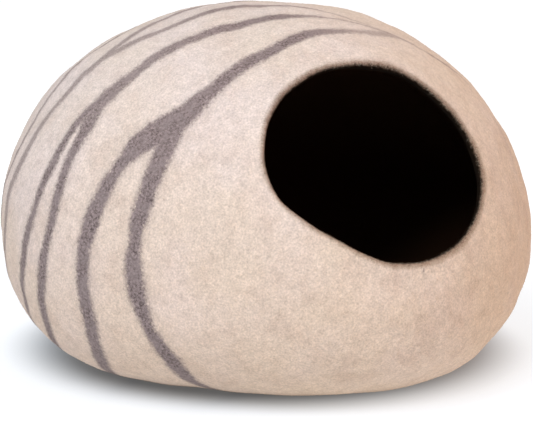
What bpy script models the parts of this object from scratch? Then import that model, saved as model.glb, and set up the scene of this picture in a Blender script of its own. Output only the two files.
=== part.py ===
"""Felt cat cave: one seamless pod of wet-felted wool with a round opening cut in its front.

Metres, +Z up. The pod stands on the floor, with the origin under the middle of its box.
The opening faces -Y and a little upwards. The wall is one sheet of felt all round, so the pod
is a single hollow solid: a skin worked out as a function of direction, thickened inwards.
"""
import math

import bmesh
import bpy
import numpy as np

# The pod's outer skin. Its own axes stand a little turned from the opening's.
HALF_WIDTH = 0.235            # from the middle to the left or right side
HALF_DEPTH = 0.228            # from the middle to the front or the back
CROWN = 0.196                 # from the widest level up to the top
BELLY = 0.131                 # from the widest level down to the lowest point
SETTLE = 0.007                # how far the floor presses that lowest point flat
FLOOR_BLEND = 0.003           # depth over which the rounded side eases into the flat base
CROWN_POWER = 2.1             # 2 gives an ellipse in section, more gives fuller shoulders
BELLY_POWER = 2.7
LEAN_X, LEAN_Y = -0.024, 0.088    # sideways run for each metre up
EGG_BACK, EGG_RIGHT = 0.076, 0.026    # share of the plan's radius gained towards the back and right
THREE_LOBES = 0.025           # share of it that comes and goes three times round
FOUR_LOBES = 0.02             # the same, four times round
POD_TURN = math.radians(4.9)
POD_X, POD_Y = -0.0038, -0.0127    # where the pod's upright axis stands

# The wall and the cut opening
WALL = 0.008                  # thickness of the felt
EDGE_ROUND = 0.003            # how far the felting rounds the cut edge
MOUTH_LIFT = math.radians(25.4)       # how far the opening looks up
MOUTH_WIDE = math.radians(26.7)       # half its width, seen from the pod's middle
MOUTH_HIGH = math.radians(23.9)       # half its height, seen from there
MOUTH_ROLL = math.radians(-8)

# Steps of the mesh round the opening's axis, and from the cut edge to the pole opposite
AROUND = 60
ALONG = 30

# Soft swells and hollows of the hand-felted wall: where each lies, seen from the pod's middle
# (azimuth 0 is the front, 90 is the right), how far it spreads, and how far it stands out
SWELLS = (
    # azimuth, elevation, spread, height: degrees and millimetres
    (67, 2, 12, 2.2),
    (78, 42, 14, -0.7),
    (91, 63, 9, 1.4),
    (-138, 71, 15, 1.2),
    (-117, 46, 10, -1.3),
    (-112, 24, 10, -1.3),
    (-107, 2, 13, 1.2),
    (-89, -29, 15, 3.2),
    (-57, -44, 9, -1.6),
    (-11, -43, 17, -1.4),
    (26, -30, 12, 3.0),
    (53, -18, 10, -1.6),
    (-38, 16, 15, 1.0),
    (122, -12, 18, 1.5),
    (150, 34, 16, -1.3),
    (178, 6, 20, 1.8),
    (-150, 12, 17, -1.4),
    (-135, -24, 15, 1.2),
)

FELT_COLOR = (0.62, 0.52, 0.44, 1.0)


def unit(azimuth, elevation):
    """A unit vector from two angles: azimuth 0 is -Y and 90 is +X, elevation 90 is +Z."""
    flat = math.cos(elevation)
    return np.array((flat * math.sin(azimuth), -flat * math.cos(azimuth), math.sin(elevation)))


def skin_radius(way):
    """Distance from the pod's middle to its skin, along unit vectors in an (..., 3) array.

    Turned and unsheared into the pod's own axes, the skin is (r/g)^n + (z/h)^n = 1: r is the
    distance from the upright axis, with the depth stretched to the width, g the lobed plan,
    h the crown or the belly, and n the power of each. The swells are added as soft round
    bumps, and the floor then cuts the rays that reach below it, by a smooth minimum.
    """
    turn_cos, turn_sin = math.cos(POD_TURN), math.sin(POD_TURN)
    across = way[..., 0] * turn_cos + way[..., 1] * turn_sin - LEAN_X * way[..., 2]
    back = way[..., 1] * turn_cos - way[..., 0] * turn_sin - LEAN_Y * way[..., 2]
    back = back * HALF_WIDTH / HALF_DEPTH
    round_angle = np.arctan2(back, across)
    plan = 1 + EGG_BACK * np.sin(round_angle) + EGG_RIGHT * np.cos(round_angle)
    plan = plan + THREE_LOBES * np.sin(3 * round_angle) + FOUR_LOBES * np.cos(4 * round_angle)
    reach = np.hypot(across, back) / (HALF_WIDTH * plan)
    above = way[..., 2] > 0
    power = np.where(above, CROWN_POWER, BELLY_POWER)
    rise = np.abs(way[..., 2]) / np.where(above, CROWN, BELLY)
    radius = (reach ** power + rise ** power) ** (-1 / power)
    for azimuth, elevation, spread, height in SWELLS:
        apart = np.arccos(np.clip(way @ unit(math.radians(azimuth), math.radians(elevation)), -1, 1))
        radius = radius + 0.001 * height * np.exp(-(apart / math.radians(spread)) ** 2)
    floor = (BELLY - SETTLE) / np.maximum(-way[..., 2], 1e-6)
    near = np.maximum(1 - np.abs(radius - floor) / FLOOR_BLEND, 0)
    return np.minimum(radius, floor) - FLOOR_BLEND / 4 * near ** 2


def mouth_angle(around):
    """The cut edge's angle from the opening's axis: an oval, a little wider than high."""
    middle = (MOUTH_WIDE + MOUTH_HIGH) / 2
    return middle + (MOUTH_WIDE - MOUTH_HIGH) / 2 * np.cos(2 * (around - MOUTH_ROLL))


def skin_rings():
    """Points of the outer skin, ring by ring from the cut edge to the pole opposite."""
    axis = unit(0.0, MOUTH_LIFT)
    right = np.array((1.0, 0.0, 0.0))
    up = np.cross(axis, right)
    around = np.arange(AROUND) * 2 * math.pi / AROUND
    along = np.arange(ALONG)[:, None] / ALONG
    edge = mouth_angle(around)[None, :]
    from_axis = edge + (math.pi - edge) * along
    sideways = np.cos(around)[:, None] * right + np.sin(around)[:, None] * up
    way = np.cos(from_axis)[..., None] * axis + np.sin(from_axis)[..., None] * sideways[None]
    rings = way * skin_radius(way)[..., None]
    pole = -axis * skin_radius(-axis)
    middle = np.array((POD_X, POD_Y, BELLY - SETTLE))
    return rings + middle, pole + middle


def felt_material():
    """Undyed cream wool felt: dull and even."""
    material = bpy.data.materials.new("wool_felt")
    material.use_nodes = True
    shader = material.node_tree.nodes["Principled BSDF"]
    shader.inputs["Base Color"].default_value = FELT_COLOR
    shader.inputs["Roughness"].default_value = 0.95
    shader.inputs["Metallic"].default_value = 0.0
    return material


def make_pod():
    """The pod: the skin's rings joined into one surface, open at the cut edge, then thickened."""
    rings, pole = skin_rings()
    cloth = bmesh.new()
    grid = [[cloth.verts.new(point) for point in ring] for ring in rings]
    last = cloth.verts.new(pole)
    for ring, after in zip(grid, grid[1:]):
        for step in range(AROUND):
            ahead = (step + 1) % AROUND
            cloth.faces.new((ring[step], ring[ahead], after[ahead], after[step]))
    for step in range(AROUND):
        cloth.faces.new((grid[-1][step], grid[-1][(step + 1) % AROUND], last))
    bmesh.ops.recalc_face_normals(cloth, faces=cloth.faces)
    mesh = bpy.data.meshes.new("felt_pod")
    cloth.to_mesh(mesh)
    cloth.free()
    mesh.shade_smooth()
    mesh.materials.append(felt_material())
    pod = bpy.data.objects.new("felt_pod", mesh)
    bpy.context.collection.objects.link(pod)
    wall = pod.modifiers.new("wall", "SOLIDIFY")
    wall.thickness = WALL
    wall.offset = -1
    wall.use_even_offset = True
    edge = pod.modifiers.new("rounded_edge", "BEVEL")
    edge.width = EDGE_ROUND
    edge.segments = 3
    edge.limit_method = "ANGLE"
    edge.angle_limit = math.radians(60)
    return pod


def main():
    for item in list(bpy.data.objects):
        bpy.data.objects.remove(item)
    make_pod()


main()
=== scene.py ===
"""Felt cat cave: the looks of one seamless pod of wet-felted wool.

The pod is one closed shell of thick felt: cream wool outside, dark wool inside, and stripes of
mauve-grey wool laid on the skin before it was felted. Loose fibres stand on it as fuzz.
Metres, +Z up, the opening faces -Y.
"""
import math

import bpy
import numpy as np
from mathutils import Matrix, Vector


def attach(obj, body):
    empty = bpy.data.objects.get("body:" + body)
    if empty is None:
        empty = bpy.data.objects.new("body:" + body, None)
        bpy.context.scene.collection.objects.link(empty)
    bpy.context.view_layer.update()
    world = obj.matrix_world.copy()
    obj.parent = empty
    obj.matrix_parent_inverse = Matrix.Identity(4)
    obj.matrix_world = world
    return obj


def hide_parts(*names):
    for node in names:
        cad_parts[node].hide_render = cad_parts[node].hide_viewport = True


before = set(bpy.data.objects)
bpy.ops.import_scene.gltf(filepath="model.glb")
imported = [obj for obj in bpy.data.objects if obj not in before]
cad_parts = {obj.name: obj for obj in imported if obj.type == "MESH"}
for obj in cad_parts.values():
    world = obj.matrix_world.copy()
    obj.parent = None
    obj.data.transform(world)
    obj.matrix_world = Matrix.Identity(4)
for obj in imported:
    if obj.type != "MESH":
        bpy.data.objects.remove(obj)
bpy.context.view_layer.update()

# ---------------------------------------------------------------------------------------
# Sizes: the same felted skin as the solid, in the same frame
# ---------------------------------------------------------------------------------------
MM = 0.001

HALF_WIDTH = 0.235            # from the middle to the left or right side
HALF_DEPTH = 0.228            # from the middle to the front or the back
CROWN = 0.196                 # from the widest level up to the top
BELLY = 0.131                 # from the widest level down to the lowest point
SETTLE = 0.007                # how far the floor presses that lowest point flat
FLOOR_BLEND = 0.003           # depth over which the side eases into the flat base
CROWN_POWER, BELLY_POWER = 2.1, 2.7       # 2 is an ellipse in section, more has fuller shoulders
LEAN_X, LEAN_Y = -0.024, 0.088            # sideways run for each metre up
EGG_BACK, EGG_RIGHT = 0.076, 0.026        # share of the plan's radius gained to the back and right
THREE_LOBES, FOUR_LOBES = 0.025, 0.02     # share of it that comes and goes three and four times round
POD_TURN = math.radians(4.9)
POD_MIDDLE = np.array((-0.0038, -0.0127, BELLY - SETTLE))

WALL = 0.008                  # thickness of the felt
MOUTH_LIFT = math.radians(25.4)           # how far the opening looks up
MOUTH_WIDE = math.radians(26.7)           # half its width, seen from the pod's middle
MOUTH_HIGH = math.radians(23.9)           # half its height, seen from there
MOUTH_ROLL = math.radians(-8)

# Where the hand-cut edge of the opening leaves its oval: 0 is the right of it and 90 the top
MOUTH_BENDS = (
    # place round the opening, spread, how far outwards: degrees
    (55, 28, 1.3),
    (348, 28, 0.5),
    (226, 24, -2.0),
    (178, 30, 0.35),
)

# How the cut edge wavers all the way round
MOUTH_WAVERS = (
    # times round, how far: degrees, start of the wave: radians
    (5, 0.10, 0.6),
    (9, 0.08, 2.2),
    (17, 0.05, 4.0),
)

# Where the dark wool comes further out over the lip, or less far, and where the cream fades into
# it more gently, or more sharply. The band this shapes is partly the two wools felted together and
# partly painted shade: softer and wider at the top, where the rolled lip turns from the light.
LIP_MIX_AND_SHADE = (
    # place round the opening (degrees), how much further out (mm), how much more gently (share)
    (75, 0.0, 0.6),
    (190, -2.1, -1.5),
)

# Soft swells and hollows of the wall, seen from the pod's middle: azimuth 0 is the front
SWELLS = (
    # azimuth, elevation, spread, height: degrees and millimetres
    (67, 2, 12, 2.2),
    (78, 42, 14, -0.7),
    (91, 63, 9, 1.4),
    (-138, 71, 15, 1.2),
    (-117, 46, 10, -1.3),
    (-112, 24, 10, -1.3),
    (-107, 2, 13, 1.2),
    (-89, -29, 15, 3.2),
    (-57, -44, 9, -1.6),
    (-11, -43, 17, -1.4),
    (26, -30, 12, 3.0),
    (53, -18, 10, -1.6),
    (-38, 16, 15, 1.0),
    (122, -12, 18, 1.5),
    (150, 34, 16, -1.3),
    (178, 6, 20, 1.8),
    (-150, 12, 17, -1.4),
    (-135, -24, 15, 1.2),
)

# Mesh of the shell: steps round the opening's axis, and rows outside, over the lip and inside
AROUND, OUTER_ROWS, LIP_ROWS, INNER_ROWS = 440, 168, 9, 28

# Unevenness of the felt surface: wavelength and height in millimetres
DENTS = ((70, 0.45), (26, 0.22), (11, 0.13))
INSIDE_DENTS = 0.5            # share of that height on the inside
BASE_FADE = 0.02              # height above the floor over which the dents come in
UNEVEN_WALL = 0.09            # share by which the wall's thickness comes and goes
UNEVEN_LENGTH = 0.05          # wavelength of that
WAVES = 40                    # cosine waves in each unevenness
WAVE_LENGTHS = (0.75, 1.4)    # the shortest and the longest of them, as shares of the wavelength
WALL_SEED, DENT_SEED, BODY_SEED, LIP_SEED = 11, 20, 5, 6

POD_REACH = 0.2               # about the skin's distance from the pod's middle
POD_TALL, POD_SIDE = 0.32, 0.24           # the pod's height, and its reach to each side
NEAR_POLE = 1e-3              # how far beside the pole, in radians, its place is worked out
POLE_DEPTH = 600.0            # stands for the poles' distance from the lip, in millimetres

# Flat map of the shell: each face of the felt lies on two discs of a unit square. The angle from
# the opening's axis that parts them, then their middles in front and at the back, and the length
# of a radian on them.
FLAT_SPLIT = math.radians(100)
FLAT_OUTSIDE = ((0.305, 0.305), (0.755, 0.755), 0.170)
FLAT_INSIDE = ((0.795, 0.205), (0.17, 0.83), 0.112)

# Loose fibres that stand on the felt: how many, and their sizes in millimetres. A fibre is
# thinner than this: each ribbon stands for a wisp of a few.
BODY_FIBRES, LIP_FIBRES = 62000, 9000
BODY_LENGTH, LIP_LENGTH = (1.6, 4.0), (0.8, 2.6)
FIBRE_LIFT = (0.1, 0.7)
FIBRE_WIDTH = 0.07            # half of it, at the root
FIBRE_SUNK = 0.1              # how deep the root lies in the felt
FIBRE_KNEE = 0.5              # share of its length at which it bends over
FIBRE_TAPER = 0.8             # share of its width that is left there
FIBRE_BEND = (-0.5, 0.5)      # how far the tip turns aside, as a share of the length
FIBRE_TIP = (-0.3, 0.8)       # how high the tip ends, as a share of the knee's height
FIBRE_CLEAR = 4.0             # no fibre stands lower than this over the floor

# A fibre's two faces, over its points: two at the root, two at the knee, and the tip. Below,
# where these five lie in its cell of the flat map.
FIBRE_FACES = (0, 1, 2, 3, 3, 2, 4)
FIBRE_CELL = ((0.3, 0.3), (0.7, 0.3), (0.7, 0.6), (0.3, 0.6), (0.5, 0.7))

# Their wool is paler and darker by these shares. The next two are shares of the lip's half circle.
BODY_TONES, LIP_TONES = (0.7, 1.25), (0.6, 1.2)
LIP_REACH = 0.62              # how far over it fibres stand
LIP_DARKENS = (0.119, 0.459)  # where dark fibres take over from cream ones
LIP_SHADE = (0.85, 0.15)      # how light a cream one is at its start, and would be at its end
LIP_HEADING = 0.7             # how far they stray from straight across the lip, in radians

STRIPE_FADE = 2.0             # width over which the fibres change wool at a stripe's edge (mm)

# Colours of the wools, sRGB
WOOLS = {
    "cream": "D4BCB6",
    "cream_patch": "D5BEBD",
    "cream_cloud": "E6DFDC",
    "dark_grey": "4F4443",
    "pale_grey": "998988",
    "soft_grey": "877A79",
    "grey_haze": "8F827A",
    # The lip's band: partly the two wools felted together, partly painted shade
    "lip_band_shade": "836552",
    "lining": "0E0906",
    "lining_patch": "1A120C",
    "lining_deep": "4C3424",
    "sheen": "E8CDB8",
    "cream_fibre": "E0CABF",
    "grey_fibre": "6E615F",
    "dark_fibre": "1A0F08",
}

# Painted light on the cream wool, as tints at the floor, at the crown, at the left and at the right:
# a painted warm light low down and on the right, and a painted cool light at the crown
PAINTED_LIGHT_TINTS = ("FFFFEE", "F3FFFF", "FDFFFF", "FFFFF0")

# ---------------------------------------------------------------------------------------
# Stripes: where the maker laid the grey wool. Each line runs round the pod's own front-to-back
# axis: 0 is the left side, 90 the crown, 180 the right side, and under 0 is below on the left.
# ---------------------------------------------------------------------------------------
STRIPES = {
    "front": (
        # angle, how far back (mm), half-width (mm), share of grey wool
        (-66, -62, 3.6, 0.0),
        (-50, -80, 5.0, 0.9),
        (-34, -95, 5.2, 1.0),
        (-26, -102, 6.2, 1.0),
        (-19, -103, 5.5, 1.0),
        (-12, -100, 4.8, 1.0),
        (-6, -97, 6.2, 1.0),
        (0, -95, 6.1, 1.0),
        (6, -95, 4.6, 1.0),
        (12, -95.3, 6.0, 1.0),
        (18, -96.3, 6.6, 1.0),
        (22, -95.6, 6.2, 1.0),
        (26, -95.2, 6.8, 1.0),
        (31, -93, 7.2, 1.0),
        (35, -92, 6.9, 1.0),
        (41, -92, 7.8, 1.0),
        (48, -93, 5.8, 1.0),
        (58, -92, 6.0, 1.0),
        (70, -92, 5.7, 1.0),
        (82, -89, 5.7, 1.0),
        (91, -88, 4.4, 0.85),
        (97, -86, 2.9, 0.65),
        (103, -82, 4.4, 0.55),
        (109, -76, 5.0, 0.55),
        (115, -74, 3.9, 0.5),
        (121, -77, 1.7, 0.6),
        (130, -74, 2.2, 1.0),
        (136, -74, 1.3, 0.4),
        (152, -79, 0.9, 0.2),
        (164, -85, 0.7, 0.0),
    ),
    "front_branch": (
        (-60, 46, 1.9, 0.0),
        (-44, 18, 4.4, 0.8),
        (-33, -10, 5.0, 1.0),
        (-24, -39, 5.8, 1.0),
        (-17, -51, 6.1, 1.0),
        (-11, -55, 5.6, 1.0),
        (-4, -55, 5.4, 1.0),
        (3, -57, 5.8, 1.0),
        (9, -60, 6.9, 1.0),
        (16, -65, 5.8, 1.0),
        (24, -72, 6.2, 1.0),
        (29, -78, 9.6, 1.0),
        (33, -82, 9.0, 1.0),
        (37, -86, 7.2, 1.0),
        (44, -93, 2.8, 1.0),
    ),
    "middle": (
        (-52, 66, 1.9, 0.0),
        (-34, 44, 3.2, 0.8),
        (-24, 22, 4.3, 1.0),
        (-16, 2, 5.4, 1.0),
        (-8, -7, 5.2, 1.0),
        (-1, -14, 4.7, 1.0),
        (5, -21, 4.3, 1.0),
        (10, -24, 5.0, 1.0),
        (18, -25, 4.5, 1.0),
        (25, -26, 5.0, 1.0),
        (31, -24, 7.1, 0.92),
        (37, -25, 6.9, 0.92),
        (43, -28, 5.2, 0.92),
        (51, -31, 5.8, 0.92),
        (58, -35, 5.4, 0.92),
        (65, -38, 6.1, 1.0),
        (73, -43, 5.4, 1.0),
        (82, -50, 5.4, 1.0),
        (88, -55, 3.2, 0.85),
        (93, -60, 1.8, 0.7),
        (99, -62, 1.6, 0.6),
        (105, -65, 2.0, 0.6),
        (112, -71, 2.6, 0.6),
        (118, -75, 0.9, 0.4),
    ),
    "middle_branch": (
        (-40, 84, 1.5, 0.0),
        (-26, 56, 2.8, 0.8),
        (-13, 33, 3.7, 1.0),
        (-4, 19, 4.5, 1.0),
        (3, 10, 4.3, 1.0),
        (10, 0, 3.5, 1.0),
        (17, -7, 4.5, 1.0),
        (23, -11, 3.9, 1.0),
        (29, -15, 4.1, 1.0),
        (34, -22, 3.9, 1.0),
        (39, -27, 1.9, 1.0),
    ),
    "rear": (
        (-30, 104, 1.5, 0.0),
        (-14, 86, 3.3, 0.77),
        (1, 66, 4.3, 0.75),
        (9, 55, 4.1, 0.75),
        (17, 43, 5.0, 0.75),
        (24, 36, 4.3, 0.75),
        (31, 28, 3.5, 0.75),
        (38, 25, 4.3, 0.75),
        (45, 20, 5.2, 0.75),
        (51, 11, 5.2, 0.75),
        (57, 4, 4.1, 0.75),
        (66, 3, 5.2, 0.85),
        (76, -1, 6.2, 0.9),
        (85, -11, 5.2, 0.77),
        (92, -27, 3.5, 0.6),
        (99, -45, 3.0, 0.45),
        (107, -61, 2.2, 0.3),
        (113, -71, 0.9, 0.0),
    ),
    "rear_branch": (
        (42, 19, 2.8, 0.75),
        (47, 25, 4.3, 0.75),
        (54, 32, 4.3, 0.77),
        (64, 38, 3.9, 0.75),
        (76, 41, 4.5, 0.75),
        (90, 39, 4.1, 0.75),
        (106, 27, 4.5, 0.75),
        (120, 7, 3.3, 0.75),
        (134, -17, 3.7, 0.77),
        (148, -39, 2.2, 0.7),
        (162, -55, 1.3, 0.0),
    ),
    "far": (
        (-24, 131, 1.5, 0.0),
        (-8, 107, 3.2, 0.77),
        (4, 87, 3.5, 0.85),
        (14, 73, 3.0, 0.85),
        (22, 63, 2.8, 0.85),
        (30, 58, 2.6, 0.77),
        (40, 61, 2.8, 0.77),
        (52, 69, 3.2, 0.85),
        (68, 77, 4.3, 0.85),
        (86, 81, 5.0, 0.85),
        (104, 73, 4.1, 0.85),
        (122, 59, 4.8, 0.85),
        (140, 39, 3.7, 0.85),
        (158, 21, 2.8, 0.77),
        (176, 7, 2.0, 0.6),
        (192, -1, 1.3, 0.0),
    ),
    "back": (
        (-14, 163, 1.5, 0.0),
        (4, 141, 3.3, 0.9),
        (22, 121, 4.5, 1.0),
        (42, 111, 3.7, 1.0),
        (64, 117, 4.7, 1.0),
        (88, 125, 4.1, 1.0),
        (110, 119, 5.0, 1.0),
        (132, 101, 4.1, 1.0),
        (152, 79, 3.3, 0.9),
        (172, 61, 2.4, 0.7),
        (190, 51, 1.3, 0.0),
    ),
    "last": (
        (6, 183, 1.3, 0.0),
        (28, 165, 3.2, 0.9),
        (58, 157, 4.1, 1.0),
        (90, 163, 3.3, 1.0),
        (122, 155, 3.9, 0.9),
        (150, 137, 2.8, 0.8),
        (176, 121, 1.3, 0.0),
    ),
    "flank": (
        (140, -96, 2.4, 0.0),
        (148, -106, 3.2, 0.2),
        (157, -120, 3.6, 0.14),
        (166, -138, 3.0, 0.05),
        (178, -150, 2.0, 0.0),
    ),
}


# ---------------------------------------------------------------------------------------
# The skin as a function of two angles
# ---------------------------------------------------------------------------------------
def unit(azimuth, elevation):
    """A unit vector from two angles: azimuth 0 is -Y and 90 is +X, elevation 90 is +Z."""
    flat = math.cos(elevation)
    return np.array((flat * math.sin(azimuth), -flat * math.cos(azimuth), math.sin(elevation)))


MOUTH_AXIS = unit(0.0, MOUTH_LIFT)
MOUTH_RIGHT = np.array((1.0, 0.0, 0.0))
MOUTH_UP = np.cross(MOUTH_AXIS, MOUTH_RIGHT)


def skin_radius(way):
    """Distance from the pod's middle to its skin, along unit vectors in an (..., 3) array.

    Turned and unsheared into the pod's own axes, the skin is (r/g)^n + (z/h)^n = 1: r is the
    distance from the upright axis, with the depth stretched to the width, g the lobed plan,
    h the crown or the belly, and n the power of each. The swells are soft round bumps, and
    the floor cuts the rays that reach below it, by a smooth minimum.
    """
    turn_cos, turn_sin = math.cos(POD_TURN), math.sin(POD_TURN)
    across = way[..., 0] * turn_cos + way[..., 1] * turn_sin - LEAN_X * way[..., 2]
    back = way[..., 1] * turn_cos - way[..., 0] * turn_sin - LEAN_Y * way[..., 2]
    back = back * HALF_WIDTH / HALF_DEPTH
    round_angle = np.arctan2(back, across)
    plan = 1 + EGG_BACK * np.sin(round_angle) + EGG_RIGHT * np.cos(round_angle)
    plan = plan + THREE_LOBES * np.sin(3 * round_angle) + FOUR_LOBES * np.cos(4 * round_angle)
    reach = np.hypot(across, back) / (HALF_WIDTH * plan)
    above = way[..., 2] > 0
    power = np.where(above, CROWN_POWER, BELLY_POWER)
    rise = np.abs(way[..., 2]) / np.where(above, CROWN, BELLY)
    radius = (reach ** power + rise ** power) ** (-1 / power)
    for azimuth, elevation, spread, height in SWELLS:
        apart = np.arccos(np.clip(way @ unit(math.radians(azimuth), math.radians(elevation)), -1, 1))
        radius = radius + MM * height * np.exp(-(apart / math.radians(spread)) ** 2)
    floor = (BELLY - SETTLE) / np.maximum(-way[..., 2], 1e-6)
    near = np.maximum(1 - np.abs(radius - floor) / FLOOR_BLEND, 0)
    return np.minimum(radius, floor) - FLOOR_BLEND / 4 * near ** 2


def skin_point(around, from_axis):
    """Points of the skin: around turns about the opening's axis and from_axis tips away from it."""
    side = np.cos(around)[..., None] * MOUTH_RIGHT + np.sin(around)[..., None] * MOUTH_UP
    way = np.cos(from_axis)[..., None] * MOUTH_AXIS + np.sin(from_axis)[..., None] * side
    return POD_MIDDLE + way * skin_radius(way)[..., None]


def normalized(vectors):
    """The vectors, brought to length one."""
    return vectors / np.linalg.norm(vectors, axis=-1, keepdims=True)


def skin_directions(around, from_axis):
    """The skin's outward normal, and the unit vector along it towards the opening's axis."""
    step = 1e-4
    turned = skin_point(around + step, from_axis) - skin_point(around - step, from_axis)
    tipped = skin_point(around, from_axis + step) - skin_point(around, from_axis - step)
    return normalized(np.cross(tipped, turned)), -normalized(tipped)


def ripples(points, wavelength, seed):
    """A smooth random height near -1 to 1: the sum of plane cosine waves in random directions."""
    draw = np.random.default_rng(seed)
    direction = normalized(draw.normal(size=(WAVES, 3)))
    length = wavelength * draw.uniform(*WAVE_LENGTHS, WAVES)
    phase = draw.uniform(0, 2 * math.pi, WAVES)
    height = np.zeros(points.shape[:-1])
    for wave in range(WAVES):
        height += np.cos(points @ (direction[wave] * 2 * math.pi / length[wave]) + phase[wave])
    return height / math.sqrt(WAVES)


def mouth_angle(around):
    """The cut edge's angle from the opening's axis: an oval with a few soft bends. It is cut by
    hand, so it also wavers a little."""
    middle = (MOUTH_WIDE + MOUTH_HIGH) / 2
    oval = middle + (MOUTH_WIDE - MOUTH_HIGH) / 2 * np.cos(2 * (around - MOUTH_ROLL))
    strayed = np.zeros(np.shape(around))
    for times, far, start in MOUTH_WAVERS:
        strayed = strayed + far * np.cos(times * around + start)
    for centre, spread, outwards in MOUTH_BENDS:
        apart = 1 - np.cos(around - math.radians(centre))
        strayed = strayed + outwards * np.exp(-2 * apart / math.radians(spread) ** 2)
    return oval + math.radians(1) * strayed


def smooth_line(at, stations, values):
    """A smooth curve through the stations: cubics whose slopes there are their neighbours' chords."""
    slopes = np.gradient(values, stations)
    at = np.clip(at, stations[0], stations[-1])
    right = np.clip(np.searchsorted(stations, at), 1, len(stations) - 1)
    left = right - 1
    gap = stations[right] - stations[left]
    part = (at - stations[left]) / gap
    from_left = (1 + 2 * part) * (1 - part) ** 2 * values[left]
    from_right = part ** 2 * (3 - 2 * part) * values[right]
    bend = part * (1 - part) * gap * ((1 - part) * slopes[left] - part * slopes[right])
    return from_left + from_right + bend


def stripe_fields(points):
    """For each stripe, how far each point lies across its line (mm), its half-width and its wool.

    The line says how far back the stripe lies at each angle round the pod. A point's distance
    behind it, shortened by the line's slope there, is its distance across the stripe.
    """
    offset = points - POD_MIDDLE
    turn_cos, turn_sin = math.cos(POD_TURN), math.sin(POD_TURN)
    right = offset[..., 0] * turn_cos + offset[..., 1] * turn_sin
    back = (offset[..., 1] * turn_cos - offset[..., 0] * turn_sin) / MM
    reach = np.hypot(right, offset[..., 2]) / MM
    angle = np.degrees(np.arctan2(offset[..., 2], -right))
    angle = np.where(angle < -90, angle + 360, angle)
    fields = {}
    for name, chart in STRIPES.items():
        stations, backs, halves, wools = np.array(chart, float).T
        line = smooth_line(angle, stations, backs)
        run = smooth_line(angle + 1, stations, backs) - smooth_line(angle - 1, stations, backs)
        slope = run / (math.radians(2) * np.maximum(reach, 1))
        across = (back - line) / np.sqrt(1 + slope ** 2)
        half = smooth_line(angle, stations, halves)
        wool = np.interp(angle, stations, wools)
        wool = np.where((angle < stations[0]) | (angle > stations[-1]), 0, wool)
        fields[name] = np.stack((across, half, wool), -1)
    return fields


# ---------------------------------------------------------------------------------------
# Meshes
# ---------------------------------------------------------------------------------------
def new_mesh(name, points, corners, sizes):
    """A mesh of its points, the corners of all its faces in one row, and how many each face has."""
    mesh = bpy.data.meshes.new(name)
    mesh.vertices.add(len(points))
    mesh.vertices.foreach_set("co", points.astype(np.float32).ravel())
    mesh.loops.add(len(corners))
    mesh.loops.foreach_set("vertex_index", corners.astype(np.int32))
    mesh.polygons.add(len(sizes))
    starts = np.concatenate(((0,), np.cumsum(sizes)[:-1]))
    mesh.polygons.foreach_set("loop_start", starts.astype(np.int32))
    mesh.update(calc_edges=True)
    return mesh


def keep_flat_map(mesh, places):
    """Gives each corner of each face its place on the flat map."""
    flat = mesh.uv_layers.new(name="OFBake")
    flat.uv.foreach_set("vector", places.astype(np.float32).ravel())


def keep_values(mesh, name, kind, key, values):
    """Gives each point a number, a vector or a colour, which the material reads."""
    stored = mesh.attributes.new(name, kind, "POINT")
    stored.data.foreach_set(key, values.astype(np.float32).ravel())


def link(name, mesh, material):
    """Puts the mesh into the scene in its material, as a piece of its own."""
    mesh.materials.append(material)
    piece = bpy.data.objects.new(name, mesh)
    bpy.context.collection.objects.link(piece)
    return piece


def lip_start(around):
    """Where the half circle of the lip starts, as an angle from the opening's axis."""
    edge = mouth_angle(around)
    return edge + WALL / 2 / np.linalg.norm(skin_point(around, edge) - POD_MIDDLE, axis=-1)


def felt_face(around, from_axis, turn):
    """Points of the felt's two faces, its normal there, and the way along it towards the inside.

    The skin is set in by half the wall, to the wall's middle, and moved out again by that half
    in the direction that turn gives: 0 is the outside, half a circle the inside, and the angles
    between go round the lip. The half comes and goes with the wall's thickness.
    """
    place = skin_point(around, from_axis)
    outward, to_axis = skin_directions(around, from_axis)
    turn_cos, turn_sin = np.cos(turn)[..., None], np.sin(turn)[..., None]
    normal = turn_cos * outward + turn_sin * to_axis
    inwards = turn_cos * to_axis - turn_sin * outward
    swollen = WALL / 2 * (1 + UNEVEN_WALL * ripples(place, UNEVEN_LENGTH, WALL_SEED))
    return place - outward * WALL / 2 + swollen[..., None] * normal, normal, inwards


def shell_rows():
    """The shell's points, row by row: from the pole opposite the opening over the outside to the
    lip, round the lip in a half circle, and back along the inside.

    A row lies at one part of the way from the cut edge to the pole. With the rows come their
    depth past the lip's outer start, in mm, and how far they tip away from the opening's axis.
    """
    around = np.arange(AROUND) * 2 * math.pi / AROUND
    start = lip_start(around)
    rows, depths, tips = [], [], []

    def ring(from_axis, turn, depth, tip):
        """Adds one row, all round the opening's axis."""
        rows.append(felt_face(around, from_axis, turn)[0])
        depths.append(depth)
        tips.append(tip)

    for part in (np.arange(OUTER_ROWS) / OUTER_ROWS)[::-1]:
        from_axis = start + (math.pi - start) * part
        ring(from_axis, 0.0, (start - from_axis) * POD_REACH / MM, from_axis)
    for turn in math.pi * np.arange(1, LIP_ROWS + 1) / (LIP_ROWS + 1):
        rolled = np.full(AROUND, turn * WALL / 2)
        ring(start, turn, rolled / MM, start - rolled / POD_REACH)
    for part in np.arange(INNER_ROWS) / INNER_ROWS:
        from_axis = start + (math.pi - start) * part
        depth = (math.pi * WALL / 2 + (from_axis - start) * POD_REACH) / MM
        ring(from_axis, math.pi, depth, from_axis)
    return around, np.array(rows), np.array(depths), np.array(tips)


def dented(points, outside):
    """Adds the unevenness of hand felting, along the ray from the pod's middle. It fades out
    at the base, which the floor keeps flat, and is weaker inside."""
    way = normalized(points - POD_MIDDLE)
    height = np.zeros(points.shape[:-1])
    for number, (wavelength, tall) in enumerate(DENTS):
        height += tall * MM * ripples(points, wavelength * MM, DENT_SEED + number)
    lifted = np.clip(points[..., 2] / BASE_FADE, 0, 1)
    fade = lifted * lifted * (3 - 2 * lifted)
    return points + way * (height * fade * np.where(outside, 1.0, INSIDE_DENTS))[..., None]


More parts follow.
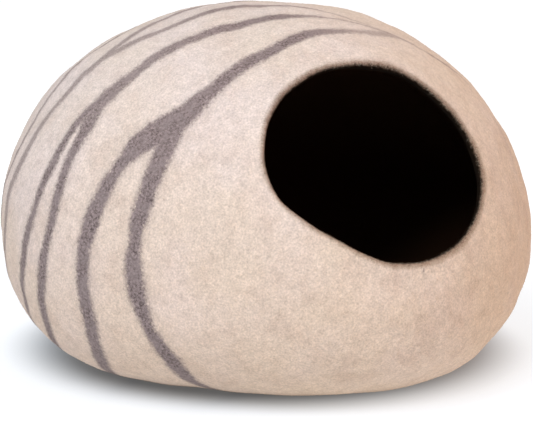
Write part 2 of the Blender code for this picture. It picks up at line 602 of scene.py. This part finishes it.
def laid_flat(turn, tip, inner):
    """Places on the flat map, which is four discs: the outside's front and back halves, and the
    same for the inside. A place's distance from its disc's middle grows with its angle from the
    opening's axis, or from the pole opposite. Each face lies on one disc, by its mean angle."""
    back = tip.mean(-1, keepdims=True) > FLAT_SPLIT
    front_middle = np.where(inner[:, None, None], FLAT_INSIDE[0], FLAT_OUTSIDE[0])
    back_middle = np.where(inner[:, None, None], FLAT_INSIDE[1], FLAT_OUTSIDE[1])
    scale = np.where(inner, FLAT_INSIDE[2], FLAT_OUTSIDE[2])[:, None]
    distance = scale * np.where(back, math.pi - tip, tip)
    middle = np.where(back[..., None], back_middle, front_middle)
    return middle + distance[..., None] * np.stack((np.cos(turn), np.sin(turn)), -1)


def shell_places(around, tips, quads, fans):
    """The shell's flat map. The row that joins the lip to the inside lies on both the outer and
    the inner discs. On the outer ones it comes after the lip, so it is tipped back by the lip's
    half circle."""
    joint = OUTER_ROWS + LIP_ROWS
    turns = np.append(np.tile(around, len(tips)), (0.0, 0.0))
    inner_tips = np.append(tips.ravel(), (math.pi, math.pi))
    outer_tips = inner_tips.copy()
    outer_tips[joint * AROUND:(joint + 1) * AROUND] -= math.pi * WALL / 2 / POD_REACH
    inner = quads[:, 0] >= joint * AROUND
    quad_tips = np.where(inner[:, None], inner_tips[quads], outer_tips[quads])
    quad_places = laid_flat(turns[quads], quad_tips, inner)
    fan_places = laid_flat(turns[fans], inner_tips[fans], np.repeat((False, True), AROUND))
    return np.concatenate((quad_places.reshape(-1, 2), fan_places.reshape(-1, 2)))


def mixed_and_shaded_depths(around, depths):
    """How deep past the lip's outer start each point lies for its wool, in mm: as it is, but shifted
    and stretched round the lip, where its band of mixed wool and painted shade is wider or narrower.
    The two poles come last."""
    for centre, out, gentle in LIP_MIX_AND_SHADE:
        near = np.maximum(np.cos(around - math.radians(centre)), 0)
        depths = np.where(depths < 0, depths * (1 - gentle * near), depths) + out * near
    return np.append(depths.ravel(), (-POLE_DEPTH, POLE_DEPTH))


def felt_shell(material):
    """The whole pod as one closed skin of quads, with a fan of triangles at each pole."""
    around, rows, depths, tips = shell_rows()
    outside = depths <= WALL / 2 / MM * math.pi / 2
    points = dented(rows, outside)
    points[..., 2] = np.where(outside, np.maximum(points[..., 2], 0.0), points[..., 2])
    pole_angle = np.full(1, math.pi - NEAR_POLE)
    pole = skin_point(np.zeros(1), pole_angle)
    outward, _ = skin_directions(np.zeros(1), pole_angle)
    poles = np.concatenate((dented(pole, True), pole - outward * WALL))
    vertices = np.concatenate((points.reshape(-1, 3), poles))

    count = len(rows)
    index = np.arange(count * AROUND).reshape(count, AROUND)
    ahead = np.roll(index, -1, axis=1)
    quads = np.stack((index[:-1], index[1:], ahead[1:], ahead[:-1]), -1).reshape(-1, 4)
    first_pole, last_pole = count * AROUND, count * AROUND + 1
    start_fan = np.stack((ahead[0], np.full(AROUND, first_pole), index[0]), -1)
    end_fan = np.stack((index[-1], np.full(AROUND, last_pole), ahead[-1]), -1)
    fans = np.concatenate((start_fan, end_fan))
    corners = np.concatenate((quads.ravel(), fans.ravel()))
    sizes = np.concatenate((np.full(len(quads), 4), np.full(len(fans), 3)))

    mesh = new_mesh("felt_shell", vertices, corners, sizes)
    mesh.shade_smooth()
    keep_flat_map(mesh, shell_places(around, tips, quads, fans))
    keep_values(mesh, "depth_in", "FLOAT", "value", mixed_and_shaded_depths(around, depths))
    for name, field in stripe_fields(vertices).items():
        keep_values(mesh, "stripe_" + name, "FLOAT_VECTOR", "vector", field)
    return link("felt_shell", mesh, material)


def stripe_cover(points):
    """The share of grey wool at each point: that of a stripe inside it, fading out across its edge."""
    cover = np.zeros(points.shape[:-1])
    for field in stripe_fields(points).values():
        across, half, wool = np.moveaxis(field, -1, 0)
        within = (half + STRIPE_FADE / 2 - np.abs(across)) / STRIPE_FADE
        cover = np.maximum(cover, wool * np.clip(within, 0, 1))
    return cover


def painted_light_tint(points):
    """The linear tint of painted light on the cream wool: warmer low down and on the right, cooler at
    the crown.
    """
    height = np.clip(points[:, 2] / POD_TALL, 0, 1)[:, None]
    rightness = np.clip(0.5 + points[:, 0] / (2 * POD_SIDE), 0, 1)[:, None]
    low, high, left, right = (np.array(colour(code)[:3]) for code in PAINTED_LIGHT_TINTS)
    return (low + (high - low) * height) * (left + (right - left) * rightness)


def fibre_tone(name):
    """The linear red, green and blue of a fibre's wool."""
    return np.array(colour(WOOLS[name])[:3])


def fibres(name, material, draw, around, from_axis, turn, heading, tones, lengths):
    """Loose fibres on the felt: each is a ribbon that leaves its root, bends over at its knee and
    ends in a point. Heading turns it away from the way towards the inside."""
    count = len(around)
    root, normal, inwards = felt_face(around, from_axis, turn)
    root = dented(root, np.full(count, True))
    sideways = np.cross(normal, inwards)
    way = np.cos(heading)[:, None] * inwards + np.sin(heading)[:, None] * sideways
    across = np.cross(normal, way)
    length = draw.uniform(*lengths, count)[:, None] * MM
    lift = draw.uniform(*FIBRE_LIFT, count)[:, None] * MM
    bend = draw.uniform(*FIBRE_BEND, count)[:, None]
    tip_lift = lift * draw.uniform(*FIBRE_TIP, count)[:, None]
    knee = root + length * FIBRE_KNEE * way + lift * normal
    tip = root + length * (way + bend * across) + tip_lift * normal
    root = root - FIBRE_SUNK * MM * normal
    wide = FIBRE_WIDTH * MM * across
    narrow = FIBRE_TAPER * wide
    points = np.stack((root + wide, root - wide, knee - narrow, knee + narrow, tip), 1)

    each = points.shape[1]
    corners = np.arange(count)[:, None] * each + np.array(FIBRE_FACES)
    mesh = new_mesh(name, points.reshape(-1, 3), corners.ravel(), np.tile((4, 3), count))

    # The flat map is a grid with one cell for each fibre, which lies in its middle
    cells = math.ceil(math.sqrt(count))
    cell = np.stack((np.arange(count) % cells, np.arange(count) // cells), -1)
    keep_flat_map(mesh, (cell[:, None] + np.array(FIBRE_CELL)[list(FIBRE_FACES)]) / cells)
    shown = np.append(tones, np.ones((count, 1)), -1)
    keep_values(mesh, "tone", "FLOAT_COLOR", "color", np.repeat(shown, each, axis=0))
    return link(name, mesh, material)


def body_fibres(material):
    """Fibres all over the outside, at random and evenly spread, but for the flat base. Each has
    the wool of its root, a little paler or darker.

    They are even over a sphere where the cosine of their angle from the opening's axis is drawn
    evenly, from the lip's to the pole's.
    """
    draw = np.random.default_rng(BODY_SEED)
    around = draw.uniform(0, 2 * math.pi, BODY_FIBRES)
    lip_level = np.cos(lip_start(around))
    level = draw.uniform(-1, 1, BODY_FIBRES) * (1 + lip_level) / 2 + (lip_level - 1) / 2
    from_axis = np.arccos(level)
    place = skin_point(around, from_axis)
    kept = place[:, 2] > FIBRE_CLEAR * MM
    around, from_axis, place = around[kept], from_axis[kept], place[kept]
    count = len(around)
    grey = draw.uniform(0, 1, count) < stripe_cover(place)
    # Painted light: cream fibres take the same painted tint as the felt
    cream = fibre_tone("cream_fibre") * painted_light_tint(place)
    tones = np.where(grey[:, None], fibre_tone("grey_fibre"), cream)
    tones = tones * draw.uniform(*BODY_TONES, count)[:, None]
    heading = draw.uniform(0, 2 * math.pi, count)
    turn = np.zeros(count)
    return fibres("body_fibres", material, draw, around, from_axis, turn, heading, tones, BODY_LENGTH)


def lip_fibres(material):
    """Fibres of both wools over the lip, which mostly lie across it: cream ones come from its
    outer edge and dark ones from its inner half. The cream ones lie in ever deeper shade."""
    draw = np.random.default_rng(LIP_SEED)
    around = draw.uniform(0, 2 * math.pi, LIP_FIBRES)
    rolled = draw.uniform(0.0, LIP_REACH, LIP_FIBRES)
    heading = draw.normal(0.0, LIP_HEADING, LIP_FIBRES)
    heading = heading + np.where(draw.uniform(0, 1, LIP_FIBRES) < 0.5, 0, math.pi)
    dark = draw.uniform(0, 1, LIP_FIBRES) < np.interp(rolled, LIP_DARKENS, (0, 1))
    start = lip_start(around)
    # Painted light: the same painted tint as the felt at the lip's start
    cream = fibre_tone("cream_fibre") * painted_light_tint(skin_point(around, start))
    cream = cream * np.interp(rolled, (0, 1), LIP_SHADE)[:, None]
    tones = np.where(dark[:, None], fibre_tone("dark_fibre"), cream)
    tones = tones * draw.uniform(*LIP_TONES, LIP_FIBRES)[:, None]
    turn = rolled * math.pi
    return fibres("lip_fibres", material, draw, around, start, turn, heading, tones, LIP_LENGTH)


# ---------------------------------------------------------------------------------------
# Materials
# ---------------------------------------------------------------------------------------
# Patterns in the wool: noise whose blobs have a real size, stretched from two of its levels to
# two shares. Patches and clouds are unevenly mixed fleece, clumps are tufts of a few millimetres,
# and heather and shade are the fibres and clouds of the grey. A wool fibre is 0.03 mm thick, too
# fine to show, so the grain of fibre ends and the heather are as coarse as they need to be.
WOOL_PATTERNS = {
    # name: size of a blob (mm), detail, roughness, from levels, to shares, course between them
    "patch": (34.0, 2.0, 0.5, (0.32, 0.68), (0.0, 1.0), "SMOOTHSTEP"),
    "cloud": (12.0, 3.0, 0.6, (0.44, 0.74), (0.0, 0.45), "SMOOTHSTEP"),
    "clump": (3.4, 3.0, 0.7, (0.3, 0.7), (1.1, 0.9), "LINEAR"),
    "grain": (0.75, 1.0, 0.5, (0.2, 0.8), (0.8, 1.2), "LINEAR"),
    "heather": (1.0, 3.0, 0.7, (0.34, 0.66), (0.0, 1.0), "LINEAR"),
    "shade": (6.0, 2.0, 0.5, (0.38, 0.66), (0.0, 0.6), "SMOOTHSTEP"),
    "lining": (3.0, 3.0, 0.5, (0.3, 0.7), (0.0, 1.0), "SMOOTHSTEP"),
}

# Where one wool goes over into another: from and to so many millimetres inside a stripe's edge,
# or past the lip's outer start, and up to what share
STRIPE_EDGE = {"From Min": -2.8, "From Max": 2.6}
STRIPE_HAZE = {"From Min": -8.0, "From Max": 0.0, "To Max": 0.12}
# The lip's band is partly painted shade
LIP_BAND = {"From Min": -2.6, "From Max": 3.6, "To Max": 0.85}
LIP_DARK = {"From Min": 2.6, "From Max": 5.8}
DEEP_INSIDE = {"From Min": 15.0, "From Max": 70.0}

# How the edges stray: the size of the noise's blobs and how far its whole range carries them, in
# millimetres. Tufts go by the cube of the noise.
WAVER_SIZE, WAVER = 9.0, 4.0
FRAY_SIZE, FRAY, TUFTS = 1.4, 6.0, 200.0

# How the wool catches the light, from the outer felt to the dark lining
SHEEN = {"To Min": 0.14, "To Max": 0.01}
GLOSS = {"To Min": 0.18, "To Max": 0.04}

# Hairs and pills of its surface: their size and depth in millimetres, again as coarse as they
# need to be to show
HAIR_SIZE, HAIR_DEPTH = 0.9, 0.8
PILL_SIZE, PILL_DEPTH = 3.6, 2.0

# The floor's painted soft shadow, an oval under the pod: its middle and its half-lengths. From its
# edge outwards, in those half-lengths, the paper's painted glow rises twice: near the edge, and far
# out.
SHADOW_MIDDLE = (0.020, 0.068)
SHADOW_SIZE = (0.180, 0.188)
NEAR_GLOW = {"From Min": 1.0, "From Max": 1.4, "To Min": 0.09, "To Max": 0.74}
FAR_GLOW = {"From Min": 1.5, "From Max": 4.0, "To Max": 0.16}


def colour(code):
    """An sRGB hex colour as linear RGBA."""
    parts = np.array([int(code[at:at + 2], 16) / 255 for at in (0, 2, 4)])
    linear = np.where(parts <= 0.04045, parts / 12.92, ((parts + 0.055) / 1.055) ** 2.4)
    return (*linear.tolist(), 1.0)


def add(tree, kind, inputs, give=0, **settings):
    """Adds a shader node: sockets are linked and values set. It gives back one of its outputs."""
    node = tree.nodes.new("ShaderNode" + kind)
    for name, value in settings.items():
        setattr(node, name, value)
    for key, value in inputs.items():
        if isinstance(value, bpy.types.NodeSocket):
            tree.links.new(value, node.inputs[key])
        else:
            node.inputs[key].default_value = value
    return node.outputs[give] if node.outputs else node


def new_material(name):
    """An empty material and its node tree."""
    material = bpy.data.materials.new(name)
    material.use_nodes = True
    tree = material.node_tree
    tree.nodes.clear()
    return material, tree


def blobs(size):
    """The scale of a noise texture whose blobs are this many millimetres across."""
    return 1 / (2 * size * MM)


def wool_felt():
    """Wool felt, wet-felted by hand over a form: cream merino outside with grey roving laid in,
    and dark wool inside. It is dull, with a soft sheen where fibres catch the light, mottled
    by the heather of the fleece, and pitted and hairy at a millimetre's scale."""
    material, tree = new_material("wet_felted_wool")
    smooth = {"interpolation_type": "SMOOTHSTEP"}
    blend = {"data_type": "RGBA", "give": 2}
    times = {"blend_type": "MULTIPLY", **blend}
    wools = {name: colour(code) for name, code in WOOLS.items()}
    low_tint, high_tint, left_tint, right_tint = (colour(code) for code in PAINTED_LIGHT_TINTS)
    place = add(tree, "TexCoord", {}, give="Object")
    right, _, up = add(tree, "SeparateXYZ", {0: place}).node.outputs
    pattern = {}
    for name, (size, detail, rough, levels, shares, course) in WOOL_PATTERNS.items():
        noise = add(tree, "TexNoise", {
            "Vector": place, "Scale": blobs(size), "Detail": detail, "Roughness": rough})
        pattern[name] = add(tree, "MapRange", {
            "Value": noise, "From Min": levels[0], "From Max": levels[1], "To Min": shares[0],
            "To Max": shares[1]}, interpolation_type=course)

    # Cream fleece: broad patches a little pinker or yellower, which are the wool's own; then painted
    # light: a painted warm light low down and on the right, and a painted cool light at the crown
    cream = {0: pattern["patch"], 6: wools["cream"], 7: wools["cream_patch"]}
    cream = add(tree, "Mix", cream, **blend)
    height = add(tree, "MapRange", {"Value": up, "From Max": POD_TALL})
    tint = add(tree, "Mix", {0: height, 6: low_tint, 7: high_tint}, **blend)
    cream = add(tree, "Mix", {0: 1.0, 6: cream, 7: tint}, **times)
    rightness = add(tree, "MapRange", {"Value": right, "From Min": -POD_SIDE, "From Max": POD_SIDE})
    tint = add(tree, "Mix", {0: rightness, 6: left_tint, 7: right_tint}, **blend)
    cream = add(tree, "Mix", {0: 1.0, 6: cream, 7: tint}, **times)

    # Heather of the fleece: soft darker clouds of a centimetre, clumps of pale and dark fibre
    # a few millimetres across which melt into each other, and a grain of fibre ends
    cream = add(tree, "Mix", {0: pattern["cloud"], 6: cream, 7: wools["cream_cloud"]}, **times)
    mottle = add(tree, "Math", {0: pattern["clump"], 1: pattern["grain"]}, operation="MULTIPLY")
    cream = add(tree, "VectorMath", {0: cream, "Scale": mottle}, operation="SCALE")

    # Grey roving: mauve-grey heather of dark and pale fibres, softer in clouds
    grey = {0: pattern["heather"], 6: wools["dark_grey"], 7: wools["pale_grey"]}
    grey = add(tree, "Mix", grey, **blend)
    grey = add(tree, "Mix", {0: pattern["shade"], 6: grey, 7: wools["soft_grey"]}, **blend)

    # The roving's edge wavers by a few millimetres and frays by one, single tufts of either
    # wool lie further across it (the cube of the noise has such long tails), and a faint haze
    # of its fibres reaches a centimetre into the cream
    waver = add(tree, "TexNoise", {"Vector": place, "Scale": blobs(WAVER_SIZE), "Detail": 2.0})
    swing = add(tree, "Math", {0: waver, 1: WAVER, 2: -WAVER / 2}, operation="MULTIPLY_ADD")
    fray = add(tree, "TexNoise", {
        "Vector": place, "Scale": blobs(FRAY_SIZE), "Detail": 4.0, "Roughness": 0.7})
    fray = add(tree, "Math", {0: fray, 1: 0.5}, operation="SUBTRACT")
    tuft = add(tree, "Math", {0: fray, 1: 3.0}, operation="POWER")
    tuft = add(tree, "Math", {0: tuft, 1: TUFTS}, operation="MULTIPLY")
    tatter = add(tree, "Math", {0: fray, 1: FRAY, 2: tuft}, operation="MULTIPLY_ADD")
    laid, haze = None, None
    for name in STRIPES:
        field = add(tree, "Attribute", {}, give="Vector", attribute_name="stripe_" + name)
        across, half, wool = add(tree, "SeparateXYZ", {0: field}).node.outputs
        across = add(tree, "Math", {0: across, 1: swing}, operation="ADD")
        across = add(tree, "Math", {0: across}, operation="ABSOLUTE")
        within = add(tree, "Math", {0: half, 1: across}, operation="SUBTRACT")
        veil = add(tree, "MapRange", {"Value": within, **STRIPE_HAZE}, **smooth)
        veil = add(tree, "Math", {0: veil, 1: wool}, operation="MULTIPLY")
        within = add(tree, "Math", {0: within, 1: tatter}, operation="ADD")
        cover = add(tree, "MapRange", {"Value": within, **STRIPE_EDGE}, **smooth)
        cover = add(tree, "Math", {0: cover, 1: wool}, operation="MULTIPLY")
        laid = add(tree, "Math", {0: laid, 1: cover}, operation="MAXIMUM") if laid else cover
        haze = add(tree, "Math", {0: haze, 1: veil}, operation="MAXIMUM") if haze else veil
    outer = add(tree, "Mix", {0: haze, 6: cream, 7: wools["grey_haze"]}, **blend)
    outer = add(tree, "Mix", {0: laid, 6: outer, 7: grey}, **blend)

    # Dark wool of the inside. Over the lip it meets the cream in a soft brown band, partly the two
    # wools felted into each other and partly painted shade where the rolled lip turns from the light,
    # and its edge is ragged
    depth = add(tree, "Attribute", {}, give="Fac", attribute_name="depth_in")
    deep = add(tree, "MapRange", {"Value": depth, **DEEP_INSIDE})
    dark = {0: pattern["lining"], 6: wools["lining"], 7: wools["lining_patch"]}
    dark = add(tree, "Mix", dark, **blend)
    dark = add(tree, "Mix", {0: deep, 6: dark, 7: wools["lining_deep"]}, **blend)
    ragged = add(tree, "Math", {0: fray, 1: FRAY, 2: depth}, operation="MULTIPLY_ADD")
    band = add(tree, "MapRange", {"Value": ragged, **LIP_BAND}, **smooth)
    felt = add(tree, "Mix", {0: band, 6: outer, 7: wools["lip_band_shade"]}, **blend)
    lining = add(tree, "MapRange", {"Value": ragged, **LIP_DARK}, **smooth)
    felt = add(tree, "Mix", {0: lining, 6: felt, 7: dark}, **blend)
    sheen = add(tree, "MapRange", {"Value": lining, **SHEEN})
    gloss = add(tree, "MapRange", {"Value": lining, **GLOSS})

    # Pits and hairs: the surface of felt at one and at a few millimetres
    hair = add(tree, "TexNoise", {
        "Vector": place, "Scale": blobs(HAIR_SIZE), "Detail": 4.0, "Roughness": 0.7, "Distortion": 0.6})
    pill = add(tree, "TexNoise", {"Vector": place, "Scale": blobs(PILL_SIZE), "Detail": 3.0})
    bump = add(tree, "Bump", {"Strength": 0.5, "Distance": HAIR_DEPTH * MM, "Height": hair})
    bump = add(tree, "Bump", {
        "Strength": 0.5, "Distance": PILL_DEPTH * MM, "Height": pill, "Normal": bump})
    shader = add(tree, "BsdfPrincipled", {
        "Base Color": felt, "Roughness": 0.94, "Specular IOR Level": gloss, "Sheen Weight": sheen,
        "Sheen Roughness": 0.55, "Sheen Tint": wools["sheen"], "Normal": bump})
    add(tree, "OutputMaterial", {"Surface": shader})
    return material


def loose_fibres():
    """Loose wool fibres: as dull as the felt, each with its own tone, which gives the eye the
    soft bloom of fuzz at the pod's edges and across the borders of the stripes."""
    material, tree = new_material("loose_wool_fibres")
    tone = add(tree, "Attribute", {}, give="Color", attribute_name="tone")
    shader = add(tree, "BsdfPrincipled", {
        "Base Color": tone, "Roughness": 1.0, "Specular IOR Level": 0.04, "Sheen Weight": 0.04,
        "Sheen Tint": colour(WOOLS["sheen"])})
    add(tree, "OutputMaterial", {"Surface": shader})
    return material


def white_floor():
    """Matt white photo paper with a painted glow all round the pod, which leaves a painted soft oval
    shadow where the pod stands on it."""
    material, tree = new_material("white_paper_painted_shadow")
    smooth = {"interpolation_type": "SMOOTHSTEP"}
    place = add(tree, "TexCoord", {}, give="Object")
    oval = {"Vector": place, "Location": (*SHADOW_MIDDLE, 0.0), "Scale": (*SHADOW_SIZE, 1.0)}
    oval = add(tree, "Mapping", oval, vector_type="TEXTURE")
    reach = add(tree, "VectorMath", {0: oval}, give="Value", operation="LENGTH")
    near = add(tree, "MapRange", {"Value": reach, **NEAR_GLOW}, **smooth)
    far = add(tree, "MapRange", {"Value": reach, **FAR_GLOW}, **smooth)
    glow = add(tree, "Math", {0: near, 1: far}, operation="ADD")
    shader = add(tree, "BsdfPrincipled", {
        "Base Color": colour("8F959D"), "Roughness": 0.9, "Specular IOR Level": 0.1,
        "Emission Color": colour("FFFFFF"), "Emission Strength": glow})
    add(tree, "OutputMaterial", {"Surface": shader})
    return material


# ---------------------------------------------------------------------------------------
# Studio
# ---------------------------------------------------------------------------------------
FLOOR_HALF = 14.0             # from its middle to a side, far beyond the picture

CAMERA_AZIMUTH = math.radians(-25.92)
CAMERA_ELEVATION = math.radians(9.66)
CAMERA_DISTANCE = 1.5006
CAMERA_TARGET = np.array((-0.0080, 0.0039, 0.1321))
CAMERA_LENS, CAMERA_SENSOR = 113.8, 36.0  # millimetres

# A big soft lamp high on the left, and a weak one overhead
LAMPS = (
    # name, place, width of its disc, watts, colour
    ("window", (-1.5, -1.3, 1.9), 1.3, 49.5, "F5FAFF"),
    ("ceiling", (-0.3, -0.3, 2.4), 1.6, 13.0, "FCFDFF"),
)
LAMP_TARGET = (0.0, 0.0, 0.14)

# Soft light from all round: a pale sky, and a warm wall on the right of the camera
SKY_GLOW = (
    # towards, colour, strength
    ((0.0, 0.0, 1.0), "EFFBFF", 0.635),
    ((math.cos(CAMERA_AZIMUTH), math.sin(CAMERA_AZIMUTH), 0.0), "FFB17E", 0.92),
)


def aimed(thing, place, target):
    """Puts a lamp or camera at place, looking at target."""
    way = Vector(target) - Vector(place)
    thing.location = place
    thing.rotation_euler = way.to_track_quat("-Z", "Y").to_euler()


def soft_lamps():
    """The lamps, each a glowing disc that looks at the middle of the pod."""
    for name, place, size, watts, tint in LAMPS:
        lamp = bpy.data.lights.new(name, "AREA")
        lamp.shape = "DISK"
        lamp.size = size
        lamp.energy = watts
        lamp.color = colour(tint)[:3]
        holder = bpy.data.objects.new(name, lamp)
        bpy.context.collection.objects.link(holder)
        aimed(holder, place, LAMP_TARGET)


def surroundings():
    """Light from all round: each glow is brightest straight ahead, and falls off with the cosine."""
    world = bpy.data.worlds.new("studio")
    world.use_nodes = True
    tree = world.node_tree
    tree.nodes.clear()
    way = add(tree, "TexCoord", {}, give="Generated")
    light = (0.0, 0.0, 0.0)
    for towards, tint, strength in SKY_GLOW:
        facing = add(tree, "VectorMath", {0: way, 1: towards}, give="Value", operation="DOT_PRODUCT")
        facing = add(tree, "Math", {0: facing, 1: 0.0}, operation="MAXIMUM")
        glow = [strength * part for part in colour(tint)[:3]]
        light = add(tree, "VectorMath", {0: facing, 1: glow, 2: light}, operation="MULTIPLY_ADD")
    background = add(tree, "Background", {"Color": light, "Strength": 1.0})
    add(tree, "OutputWorld", {"Surface": background})
    return world


def studio():
    """A white floor, the lamps, soft light all round, and the camera."""
    half = FLOOR_HALF
    corners = [(-half, -half, 0), (half, -half, 0), (half, half, 0), (-half, half, 0)]
    mesh = bpy.data.meshes.new("floor")
    mesh.from_pydata(corners, [], [(0, 1, 2, 3)])
    link("floor", mesh, white_floor())
    soft_lamps()

    scene = bpy.context.scene
    scene.world = surroundings()
    scene.view_settings.view_transform = "Standard"

    lens = bpy.data.cameras.new("camera")
    lens.sensor_width = CAMERA_SENSOR
    lens.lens = CAMERA_LENS
    camera = bpy.data.objects.new("camera", lens)
    bpy.context.collection.objects.link(camera)
    away = unit(CAMERA_AZIMUTH, CAMERA_ELEVATION)
    aimed(camera, CAMERA_TARGET + away * CAMERA_DISTANCE, CAMERA_TARGET)
    scene.camera = camera


def main():
    """The studio, the pod's shell and its fuzz, which all ride on the one body."""
    studio()
    shell = felt_shell(wool_felt())
    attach(shell, "root")
    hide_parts("felt_pod")
    wisps = loose_fibres()
    for piece in (body_fibres(wisps), lip_fibres(wisps)):
        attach(piece, "root")


main()
